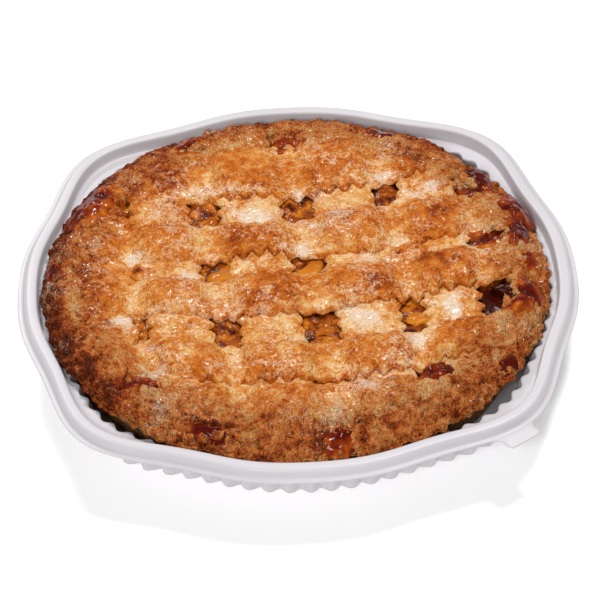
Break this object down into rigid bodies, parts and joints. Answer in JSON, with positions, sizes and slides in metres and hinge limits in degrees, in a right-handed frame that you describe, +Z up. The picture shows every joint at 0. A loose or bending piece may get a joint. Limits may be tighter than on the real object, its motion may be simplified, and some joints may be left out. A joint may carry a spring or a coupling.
{
  "type": "lattice-top apple pie in a plastic tray",
  "caption": "Round baked apple pie with a crinkle-cut lattice crust over glossy filling, sitting in its fluted plastic tray with a lobed rim and pull tab.",
  "frame": {"origin": "on the ground under the middle of the tray", "axes": "+Z up out of the pie; +X to the right and -Y towards the viewer, square to the tray's straight sides"},
  "size_m": [0.2676, 0.2676, 0.0443],
  "materials": {
    "tray_plastic": "satin, opaque, off-white",
    "rim_crust": null,
    "apple_filling": null,
    "lattice_crust": null
  },
  "bodies": {
    "root": {"tray": "tray_plastic", "bottom_crust": "rim_crust", "filling": "apple_filling", "lower_strip_1": "lattice_crust", "lower_strip_2": "lattice_crust", "lower_strip_3": "lattice_crust", "lower_strip_4": "lattice_crust", "lower_strip_5": "lattice_crust", "lower_strip_6": "lattice_crust", "upper_strip_1": "lattice_crust", "upper_strip_2": "lattice_crust", "upper_strip_3": "lattice_crust", "upper_strip_4": "lattice_crust", "upper_strip_5": "lattice_crust"}
  },
  "joints": []
}
